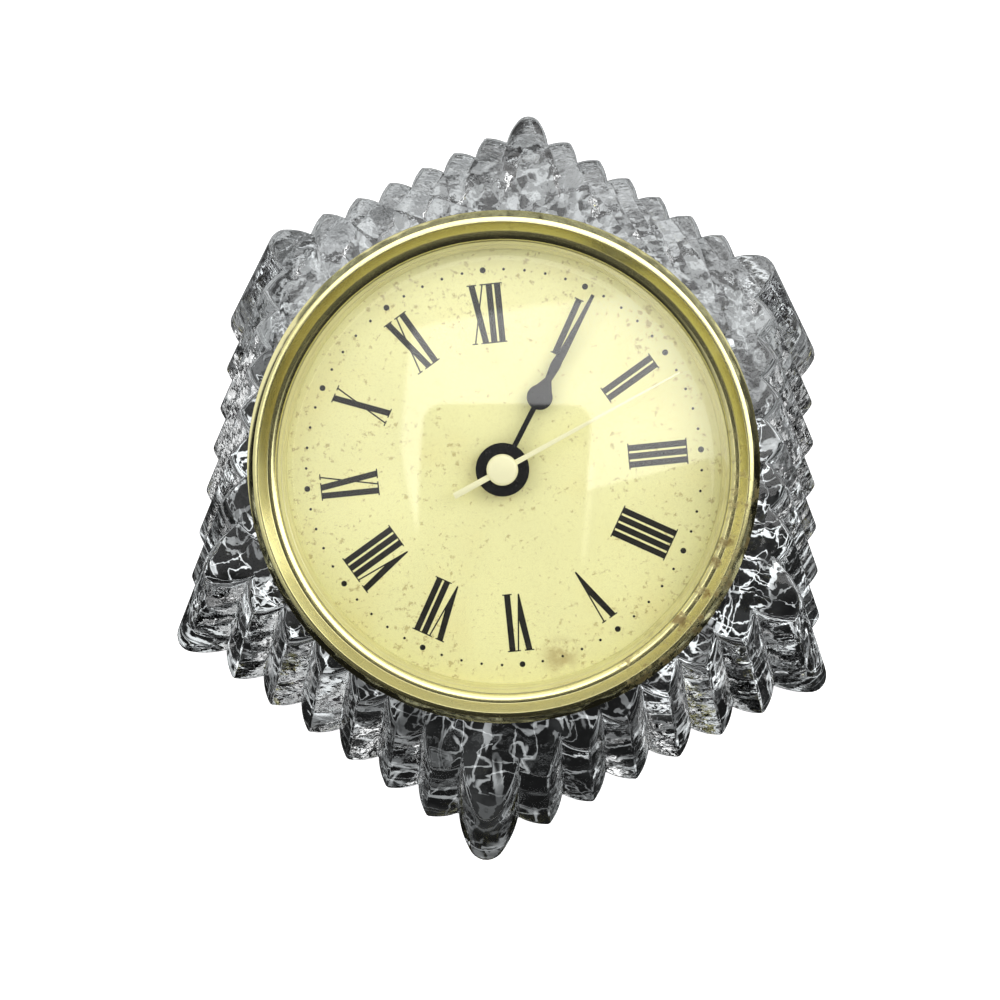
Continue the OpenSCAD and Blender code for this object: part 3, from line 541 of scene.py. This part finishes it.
def numeralStrokes(word):
    size = numeral
    low, high, bar, thin = size["inner"], size["outer"], size["bar"], size["thin"]
    widths = {"I": bar, "V": size["veeWidth"], "X": size["exWidth"]}
    total = sum(widths[c] for c in word) + size["gap"] * (len(word) - 1)
    cursor, strokes = -total / 2, []
    outerRuns, innerRuns = [], []  # what each serif line joins

    def join(runs, parts):
        # a letter's first stroke shares its serif with the letter before
        if runs and runs[-1][1] > cursor - size["gap"] * 1.5 and parts:
            runs[-1][1] = cursor + parts[0][1]
            parts = parts[1:]
        runs.extend([cursor + start, cursor + end] for start, end in parts)
    for letter in word:
        wide = widths[letter]
        if letter == "I":
            strokes.append(stroke(cursor + bar / 2, low, cursor + bar / 2, high, bar))
            join(outerRuns, [(0, bar)])
            join(innerRuns, [(0, bar)])
        elif letter == "V":
            point = wide * size["veePoint"]
            cut = (wide - bar) / (wide - thin / 2)
            strokes.append([(cursor, high), (cursor + bar, high),
                            (cursor + bar + point * cut, high - (high - low) * cut),
                            (cursor + point + thin / 2, low), (cursor + point - thin / 2, low)])
            strokes.append(stroke(cursor + point, low, cursor + wide - thin / 2, high, thin))
            join(outerRuns, [(0, bar), (wide - thin, wide)])
        else:
            strokes.append(stroke(cursor + wide - bar / 2, low, cursor + bar / 2, high, bar))
            strokes.append(stroke(cursor + thin, low, cursor + wide - thin, high, thin))
            join(outerRuns, [(0, bar), (wide - thin * 1.5, wide)])
            join(innerRuns, [(0, thin * 1.5), (wide - bar, wide)])
        cursor += wide + size["gap"]
    over, line = size["overhang"], size["serif"]
    for runs, level in ((outerRuns, high), (innerRuns, low)):
        for start, end in runs:
            strokes.append([(start - over, level - line / 2), (end + over, level - line / 2),
                            (end + over, level + line / 2), (start - over, level + line / 2)])
    return strokes


def inkFinish():
    made = Finish("dialInk")
    where = made.place()
    patchy = made.noise(where, 700.0, 3.0, 0.6).above(0.35, 0.7)
    base = made.blend(patchy, shade((14, 13, 10)), shade((30, 27, 20)))
    return made.close(made.principled(colour=base, rough=0.45 + patchy * 0.1))


ink = inkFinish()


def makeNumerals():
    shape = bmesh.new()
    level = 0
    for hour, word in enumerate(hourNames):
        turn = math.radians(-30 * hour)
        for outline in numeralStrokes(word):
            level += 1
            # crossing strokes never share a face
            top = numeral["inkTop"] + numeral["inkStep"] * (level % numeral["inkLevels"])
            turned = [(x * math.cos(turn) - y * math.sin(turn),
                       x * math.sin(turn) + y * math.cos(turn)) for x, y in outline]
            prism(shape, turned, numeral["inkLow"], top)
    bmesh.ops.recalc_face_normals(shape, faces=shape.faces)
    return meshPiece("dialNumerals", shape, insertFrame, sharp=0)


dress(makeNumerals(), ink, "insert", "hand_black")

# minute track: sixty dots made with Geometry Nodes, every fifth one larger
minuteTrack = {"Count": 60, "Track radius": 34.33 * mm, "Dot radius": 0.23 * mm,
               "Hour scale": 2.2, "Thickness": 0.045 * mm, "Height": -2.99 * mm}


def trackTree(sizes, material):
    tree = bpy.data.node_groups.new("minuteTrack", "GeometryNodeTree")
    socket = {}
    for name, value in sizes.items():
        kind = "NodeSocketInt" if name == "Count" else "NodeSocketFloat"
        socket[name] = tree.interface.new_socket(name, in_out="INPUT", socket_type=kind)
        socket[name].default_value = value
    tree.interface.new_socket("Geometry", in_out="OUTPUT", socket_type="NodeSocketGeometry")
    build = Finish("", tree)
    entry = build.node("NodeGroupInput")

    def given(name):
        return Signal(build, next(s for s in entry.socket.node.outputs if s.name == name))
    circle = build.node("GeometryNodeMeshCircle", {"fill_type": "NONE"},
                        {"Vertices": given("Count"), "Radius": given("Track radius")})
    lift = build.node("ShaderNodeCombineXYZ", values={"Z": given("Height")})
    track = build.node("GeometryNodeSetPosition", values={"Geometry": circle, "Offset": lift})
    dot = build.node("GeometryNodeMeshCylinder", {"fill_type": "NGON"},
                     {"Vertices": 20, "Radius": given("Dot radius"),
                      "Depth": given("Thickness")})
    index = build.node("GeometryNodeInputIndex")
    fifth = build.maths("MODULO", index, 5.0) < 0.5
    scale = 1 + fifth * (given("Hour scale") - 1)
    grow = build.node("ShaderNodeCombineXYZ", values={"X": scale, "Y": scale, "Z": 1.0})
    spread = build.node("GeometryNodeInstanceOnPoints",
                        values={"Points": track, "Instance": dot, "Scale": grow})
    real = build.node("GeometryNodeRealizeInstances", values={"Geometry": spread})
    done = build.node("GeometryNodeSetMaterial", values={"Geometry": real,
                                                         "Material": material})
    end = tree.nodes.new("NodeGroupOutput")
    tree.links.new(done.socket, end.inputs[0])
    return tree, {name: item.identifier for name, item in socket.items()}


def grownPiece(name, tree, identifiers, sizes, place):
    carrier = bpy.data.objects.new(name + "Carrier", bpy.data.meshes.new(name + "Carrier"))
    scene.collection.objects.link(carrier)
    grow = carrier.modifiers.new("grow", "NODES")
    grow.node_group = tree
    for key, value in sizes.items():
        grow[identifiers[key]] = value
    bpy.context.view_layer.update()
    evaluated = carrier.evaluated_get(bpy.context.evaluated_depsgraph_get())
    mesh = bpy.data.meshes.new_from_object(evaluated)
    carrier.modifiers.clear()
    bpy.data.objects.remove(carrier)
    mesh.transform(place)
    mesh.name = name
    piece = bpy.data.objects.new(name, mesh)
    scene.collection.objects.link(piece)
    return piece


trackNodes, trackNames = trackTree(minuteTrack, ink)
hourStart = insertFrame @ Matrix.Rotation(math.radians(90), 4, "Z")
dress(grownPiece("minuteDots", trackNodes, trackNames, minuteTrack, hourStart),
      ink, "insert", "hand_black")
print("dial, numerals and minute track made")

# second hand: fine tapered pointer with its tail and a low domed cap
secondHand = {"at": 67.0, "low": -0.1, "thick": 0.2, "length": 34.2, "tail": 9.4,
              "tailHalf": 0.55, "hubHalf": 0.5, "tipHalf": 0.15, "taperAt": 0.6, "edge": 0.06,
              "cap": 2.7, "capWall": 0.3, "capEdge": 0.7, "capRise": 0.45, "capHeight": 0.9,
              "capCrown": 1.2, "capFall": 0.08, "capSteps": 96}


def makeSecondHand():
    size = secondHand
    low, top = size["low"], size["low"] + size["thick"]
    turn = insertFrame @ Matrix.Rotation(math.radians(-size["at"]), 4, "Z")
    half = [(size["tailHalf"], -size["tail"]), (size["hubHalf"], 0),
            (size["hubHalf"] / 2, size["length"] * size["taperAt"]),
            (size["tipHalf"], size["length"])]
    shape = bmesh.new()
    prism(shape, half + [(-x, y) for x, y in half[::-1]], low, top)
    pointer = meshPiece("secondHand", shape, turn, sharp=0)
    soften = pointer.modifiers.new("soften", "BEVEL")
    soften.width, soften.segments, soften.limit_method = size["edge"] * mm, 2, "ANGLE"
    wall, edge, crown = low + size["capWall"], size["capEdge"], low + size["capHeight"]
    cap = ringMesh("secondCap", [(0, low), (size["cap"], low), (size["cap"], wall)]
                   + [(size["cap"] - edge + edge * math.cos(math.radians(a)),
                       wall + size["capRise"] * math.sin(math.radians(a)))
                      for a in range(15, 91, 15)]
                   + [(size["capCrown"], crown - size["capFall"]), (0, crown)],
                   size["capSteps"], turn, closed=False, sharp=40)
    join = pointer.modifiers.new("join", "BOOLEAN")
    join.operation, join.solver, join.object = "UNION", "EXACT", cap
    bpy.context.view_layer.update()
    evaluated = pointer.evaluated_get(bpy.context.evaluated_depsgraph_get())
    mesh = bpy.data.meshes.new_from_object(evaluated)
    pointer.modifiers.clear()
    pointer.data = mesh
    bpy.data.objects.remove(cap)
    mesh.shade_smooth()
    mesh.set_sharp_from_angle(angle=math.radians(30))
    return pointer


handGold = brassFinish("handGold", shade((252, 249, 208)), shade((248, 243, 198)), 0.4,
                       0.05, metal=0.15)
dress(makeSecondHand(), handGold, "seconds", "hand_gold", "second_hand")


# the CAD nodes that stay, each with its own finish
def lacquerFinish():
    made = Finish("handBlack")
    where = made.place()
    dust = made.noise(where, 1500.0, 3.0, 0.6).above(0.55, 0.8)
    base = made.blend(dust, shade((18, 18, 19)), shade((34, 34, 34)))
    return made.close(made.principled(colour=base, rough=0.22 + dust * 0.15, coat=0.3))


def mouldedFinish(name, colour, darker, rough, grain):
    made = Finish(name)
    where = made.place()
    cloud = made.noise(where, 140.0, 3.0, 0.5)
    fine = made.noise(where, grain, 3.0, 0.55)
    return made.close(made.principled(colour=made.blend(cloud.above(0.35, 0.7), colour, darker),
                                      rough=rough + fine * 0.12,
                                      normal=made.bump(fine, 0.00002, 0.4)))


def rubberFinish():
    made = Finish("sleeveRubber")
    where = made.place()
    bloom = made.noise(where, 180.0, 4.0, 0.6).above(0.5, 0.8)
    base = made.blend(bloom, shade((20, 20, 20)), shade((44, 44, 43)))
    return made.close(made.principled(colour=base, rough=0.62 + bloom * 0.2,
                                      normal=made.bump(made.noise(where, 1800.0), 0.00003, 0.5)))


def steelFinish(name, colour, along):
    # rolled or turned steel: fine lines along one direction
    made = Finish(name)
    where = made.place(scale=along)
    lines = made.noise(where, 900.0, 3.0, 0.6)
    cloud = made.noise(made.place(), 120.0).above(0.4, 0.7)
    base = made.blend(cloud * 0.4, colour, shade((150, 150, 152)))
    return made.close(made.principled(colour=base, metal=1.0, rough=0.24 + lines * 0.14,
                                      normal=made.bump(lines, 0.00001, 0.3)))


def windingFinish():
    made = Finish("copperWinding")
    where = made.place(dialCentre, dialUnturn)
    turns = made.node("ShaderNodeTexWave", {"wave_type": "BANDS", "bands_direction": "X"},
                      {"Vector": where, "Scale": 1600.0, "Distortion": 0.0})
    base = made.blend(turns, shade((122, 58, 26)), shade((206, 122, 66)))
    return made.close(made.principled(colour=base, metal=0.8, rough=0.3, coat=0.4,
                                      normal=made.bump(turns, 0.00004, 0.8)))


def boardFinish():
    made = Finish("circuitBoard")
    where = made.place(dialCentre, dialUnturn)
    weave = made.noise(where, 1400.0, 2.0, 0.5)
    copper = made.node("ShaderNodeTexVoronoi", {"feature": "DISTANCE_TO_EDGE"},
                       {"Vector": where, "Scale": 420.0}, "Distance").above(0.02, 0.07)
    base = made.blend(copper, shade((96, 128, 60)), shade((36, 74, 34)))
    return made.close(made.principled(colour=base, rough=0.34 + weave * 0.1, coat=0.3,
                                      normal=made.bump(copper, 0.00002, 0.5)))


def cellFinish():
    made = Finish("batterySleeve")
    where = made.place(dialCentre, dialUnturn)
    along = where.split()[0]
    band = (along > 0.0085) + (along < -0.0135)
    wrinkle = made.noise(where, 260.0, 3.0)
    base = made.blend(band, shade((96, 22, 22)), shade((178, 176, 170)))
    return made.close(made.principled(colour=base, metal=band * 0.9, rough=0.26 + wrinkle * 0.12,
                                      normal=made.bump(wrinkle, 0.00003, 0.3)))


ivory = mouldedFinish("plateIvory", shade((226, 220, 200)), shade((210, 202, 180)), 0.4, 1400.0)
white = mouldedFinish("wheelAcetal", shade((236, 236, 230)), shade((222, 222, 214)), 0.34, 1700.0)
tan = mouldedFinish("wheelTan", shade((210, 184, 138)), shade((190, 162, 116)), 0.36, 1700.0)
black = mouldedFinish("caseBlack", shade((26, 26, 27)), shade((38, 38, 39)), 0.42, 1500.0)
green = mouldedFinish("bobbinGreen", shade((34, 70, 42)), shade((26, 54, 32)), 0.4, 1500.0)
resin = mouldedFinish("pottingResin", shade((16, 16, 17)), shade((30, 30, 30)), 0.16, 300.0)
magnet = mouldedFinish("magnetGrey", shade((78, 80, 84)), shade((58, 60, 64)), 0.5, 1900.0)
steel = steelFinish("springSteel", shade((196, 197, 200)), (1, 12, 12))
iron = steelFinish("softIron", shade((172, 172, 170)), (12, 1, 12))
turned = brassFinish("turnedBrass", shade((222, 196, 120)), shade((200, 172, 96)), 0.24,
                     0.2)
hands = lacquerFinish()
for material, names in (
        (hands, ("hour_hand", "minute_hand")),
        (ivory, ("front_plate", "middle_plate", "back_plate")),
        (white, ("hour_wheel", "second_wheel", "motion_wheel", "third_wheel", "step_wheel")),
        (tan, ("centre_wheel",)), (black, ("insert_case", "battery_hatch", "setting_knob")),
        (green, ("coil_bobbin",)), (resin, ("driver_chip",)), (magnet, ("rotor",)),
        (rubberFinish(), ("case_gasket",)), (windingFinish(), ("coil_winding",)),
        (boardFinish(), ("circuit_board",)), (cellFinish(), ("battery",)),
        (steel, ("plate_screws", "dial_washer", "minute_arbor", "quartz_can", "contact_plus",
                 "contact_minus")),
        (iron, ("stator", "coil_core")), (turned, ("bushing", "dial_nut"))):
    for name in names:
        slots = nodes[name].data.materials
        slots.clear()
        slots.append(material)
print("finishes given to the CAD nodes")

# stage: pale floor, and the studio that metal and glass reflect
# the floor also holds a painted shade and painted caustics under the block, seen only by metal and
# glass
stage = {"floor": 4.0, "floorDrop": 0.0005, "floorGlow": 0.82, "shadeInner": 0.094,
         "shadeOuter": 0.11, "paintedFrontTone": 0.010, "paintedBackTone": 0.29, "net": 1.0, "streak": 0.03,
         "mirrorShade": 0.09, "mirrorSide": 0.5, "backFrom": 0.012, "backTo": 0.05,
         "contactFrom": 0.071, "contactTo": 0.079, "mottleFine": 700.0, "mottleBroad": 260.0,
         "spokes": (16.0, 55.0, 0.028), "arcs": (6.0, 240.0, 0.03), "patches": 120.0,
         "cool": (0.95, 0.985, 1.0, 1)}
studio = {"plain": 0.8, "low": 0.03, "ceiling": 0.62, "haze": 1.6, "streak": 0.8,
          "silhouette": 0.9, "clutter": 0.95, "clutterScale": 7.0, "clutterFrom": 0.51,
          "clutterTo": 0.55}
# soft round windows: strength, direction, and the angles from it in degrees at which the
# light has gone and at which it is full
windows = ((0.62, (0.35, 1.0, 0.5), 88, 50), (1.3, (-1.0, 0.16, 0.12), 31, 28),
           (0.5, (1.0, 0.3, 0.35), 30, 27))
ceilingLight = {"direction": (0.0, -0.2, 1.0), "gone": 62, "full": 44, "slant": 0.3,
                "lowFrom": -0.32, "lowTo": 0.02, "shadeFrom": -0.42, "shadeTo": -0.12}
# what the lens shows of the ceiling, in tangents of the angle from the insert's axis:
# the camera's dark shape, the bright patch round it and a bright strip beside it
cameraShape = {"middle": -0.021, "half": 0.195, "top": 0.110, "slant": 0.05, "cornerFrom": 0.050,
               "cornerTo": 0.060}
brightPatch = {"topFrom": 0.466, "topTo": 0.484, "topSlant": 0.24, "leftFrom": -0.338,
               "leftTo": -0.324, "leftSlant": 0.242, "leftBend": 0.025, "rightFrom": -0.146,
               "rightTo": -0.136, "rightSlant": 0.283, "lowFrom": -0.285, "lowTo": -0.24}
brightStrip = {"leftFrom": 0.226, "leftTo": 0.232, "rightFrom": 0.244, "rightTo": 0.250,
               "lowFrom": -0.32, "lowTo": -0.26}


def makeStage():
    shape = bmesh.new()
    half = stage["floor"] / 2
    corners = [shape.verts.new((x * half, y * half, -stage["floorDrop"]))
               for x, y in ((-1, -1), (1, -1), (1, 1), (-1, 1))]
    shape.faces.new(corners)
    floor = meshPiece("floor", shape, Matrix.Identity(4), sharp=0)
    made = Finish("floorWhite")
    seen, glossy, through = made.rays("Camera", "Glossy", "Transmission")
    where = made.place()
    across, deep = where.split()[:2]
    reach = made.length(across, deep)
    # metal and glass see the same white floor, but for a painted shade in place of the one that
    # the block itself
    # throws: deep in front of the insert, lighter behind it
    indirect = (through + glossy).held()
    mirrored = glossy * (1 - through)
    # for reflections the painted shade reaches further out, and further on the right than on the
    # left
    nearer = mirrored * (stage["mirrorShade"] + across * stage["mirrorSide"])
    clear = (reach - nearer).above(stage["shadeInner"], stage["shadeOuter"])
    # painted light: mottled patches in the painted shade behind the insert
    paintedMottle = (made.noise(where, stage["mottleFine"], 3.0, 0.65, 0.4).above(0.46, 0.54)
              + made.noise(where, stage["mottleBroad"], 3.0, 0.6, 0.4).above(0.46, 0.54))
    # painted caustics: the spokes and arcs of light that ridged glass throws on a table, painted
    # into the floor
    angle = made.maths("ARCTAN2", across, deep)

    def paintedCausticLine(turns, rings, wide):
        # thin painted lines of light, stretched along the spokes or round the foot
        polar = made.node("ShaderNodeCombineXYZ", values={"X": angle * turns, "Y": reach * rings})
        away = made.maths("ABSOLUTE", made.noise(polar, 1.0, 1.5, 0.5, 0.8) - 0.5)
        return 1 - away.above(wide * 0.3, wide)
    aside = (across * across).above(0.00006, 0.0012)  # fewer of them in the middle
    net = ((paintedCausticLine(*stage["spokes"]) + paintedCausticLine(*stage["arcs"])) * (0.4 + aside * 0.75)
           * (0.2 + made.noise(where, stage["patches"]).above(0.40, 0.60) * 0.8))
    # painted caustic light, with soft painted streaks of light between the lines
    paintedCaustics = (net * stage["net"] + made.noise(where, 110.0).above(0.50, 0.70) * stage["streak"])
    paintedCaustics = paintedCaustics * (1 - mirrored)
    behind = deep.above(stage["backFrom"], stage["backTo"])
    # painted contact shadow: darkest round the outside of the foot
    contact = 1 - reach.above(stage["contactFrom"], stage["contactTo"]) * 0.8
    # painted shade under the block: painted caustics in front; behind, mottled painted light and
    # caustic lines, darkened by the painted contact shadow
    paintedShade = stage["paintedFrontTone"] + (1 - behind) * paintedCaustics + (behind * stage["paintedBackTone"]
                                                           * (0.1 + paintedMottle + net * 0.6)
                                                           * contact)
    under = clear + (1 - clear) * paintedShade
    paper = made.node("ShaderNodeBsdfDiffuse", values={
        "Color": made.blend(indirect, (0.8, 0.8, 0.8, 1), (0, 0, 0, 1))})
    glow = made.node("ShaderNodeEmission", values={
        "Color": made.blend(through, (1, 1, 1, 1), stage["cool"]),
        "Strength": seen * stage["floorGlow"] + indirect * under})
    floor.data.materials.append(made.close(
        made.node("ShaderNodeAddShader", values={0: paper, 1: glow})))


def makeWorld():
    world = bpy.data.worlds.new("studio")
    world.use_nodes = True
    scene.world = world
    world.cycles.sampling_method = "NONE"
    made = Finish("", world.node_tree)
    seen, diffuse, glossy, through = made.rays("Camera", "Diffuse", "Glossy", "Transmission")
    direction = made.node("ShaderNodeTexCoord", out="Generated")

    def panel(centre, gone, full):
        dot = made.node("ShaderNodeVectorMath", {"operation": "DOT_PRODUCT"},
                        {0: direction, 1: tuple(Vector(centre).normalized())}, "Value")
        return dot.above(math.cos(math.radians(gone)), math.cos(math.radians(full)))

    # the ceiling, laid out as the tangents of the angles from the insert's axis
    overhead = made.node("ShaderNodeMapping", {"vector_type": "TEXTURE"},
                         {"Vector": direction, "Rotation": (math.radians(seat["tilt"]), 0, 0)})
    sideways, upward, depth = overhead.split()
    height = made.maths("MAXIMUM", depth, 0.05)
    u, v = sideways / height, upward / height
    dark, edge, strip, light = cameraShape, brightPatch, brightStrip, ceilingLight
    besides = made.maths("MAXIMUM", made.maths("ABSOLUTE", u - dark["middle"]) - dark["half"])
    beyond = made.maths("MAXIMUM", v - dark["slant"] * u - dark["top"])
    hidden = 1 - made.length(besides, beyond).above(dark["cornerFrom"], dark["cornerTo"])
    top = 1 - (v - edge["topSlant"] * u).above(edge["topFrom"], edge["topTo"])
    bent = edge["leftSlant"] * made.maths("MINIMUM", v, edge["leftBend"])
    left = (u + bent).above(edge["leftFrom"], edge["leftTo"])
    right = (v - edge["rightSlant"] * u).above(edge["rightFrom"], edge["rightTo"]) * (u > 0)
    wedge = v.above(edge["lowFrom"], edge["lowTo"]) * (u < 0)
    haze = top * left * (right + wedge) * (1 - hidden)
    streak = (u.above(strip["leftFrom"], strip["leftTo"])
              * (1 - u.above(strip["rightFrom"], strip["rightTo"]))
              * v.above(strip["lowFrom"], strip["lowTo"]) * (v < 0))
    ceiling = ((v - light["slant"] * u).above(light["lowFrom"], light["lowTo"])
               * panel(light["direction"], light["gone"], light["full"]))
    silhouette = hidden * v.above(light["shadeFrom"], light["shadeTo"]) * studio["silhouette"]
    room = (studio["low"] + sum(strength * panel(*window) for strength, *window in windows)
            + studio["ceiling"] * ceiling * (1 - silhouette)
            + studio["haze"] * haze + studio["streak"] * streak)
    # through the glass the room is broken up into bright and dark
    clutter = made.noise(direction, studio["clutterScale"], 2.0, 0.5).above(
        studio["clutterFrom"], studio["clutterTo"])
    room = room * (1 - through * (1 - clutter) * studio["clutter"])
    strength = seen + diffuse * studio["plain"] + (through + glossy).held() * room
    made.close(made.node("ShaderNodeBackground", values={"Color": (1, 1, 1, 1),
                                                         "Strength": strength}),
               "ShaderNodeOutputWorld")


# place, width, height and power of each lamp, all aimed at one point
lampAim = (0, 0, 0.03)
lamps = {"softboxRight": ((0.42, 0.10, 0.55), 0.42, 0.5, 2.0),
         "softboxLeft": ((-0.5, -0.1, 0.45), 0.25, 0.5, 1.0)}


def areaLamp(name, place, width, height, power):
    data = bpy.data.lights.new(name, "AREA")
    data.shape, data.size, data.size_y = "RECTANGLE", width, height
    data.energy = power
    lamp = bpy.data.objects.new(name, data)
    lamp.location = place
    lamp.rotation_euler = (Vector(lampAim) - Vector(place)).to_track_quat("-Z", "Y").to_euler()
    # the windows of the world stand for the lamps in lens, metal and glass
    lamp.visible_glossy = False
    lamp.visible_transmission = False
    scene.collection.objects.link(lamp)


makeStage()
makeWorld()
for name, values in lamps.items():
    areaLamp(name, *values)

# camera, as the photograph was taken
view = {"place": (3.669, -72.696, 204.077), "turn": (19.0648, 0.2843, 3.8089), "lens": 37.21,
        "sensor": 36.0}
cameraData = bpy.data.cameras.new("photoCamera")
cameraData.lens, cameraData.sensor_width = view["lens"], view["sensor"]
cameraData.sensor_fit = "HORIZONTAL"
cameraData.clip_start = 0.01
camera = bpy.data.objects.new("photoCamera", cameraData)
camera.location = [c * mm for c in view["place"]]
camera.rotation_euler = Euler([math.radians(a) for a in view["turn"]], "XYZ")
scene.collection.objects.link(camera)
scene.camera = camera
scene.view_settings.view_transform = "Standard"
print("stage, lamps and camera set")
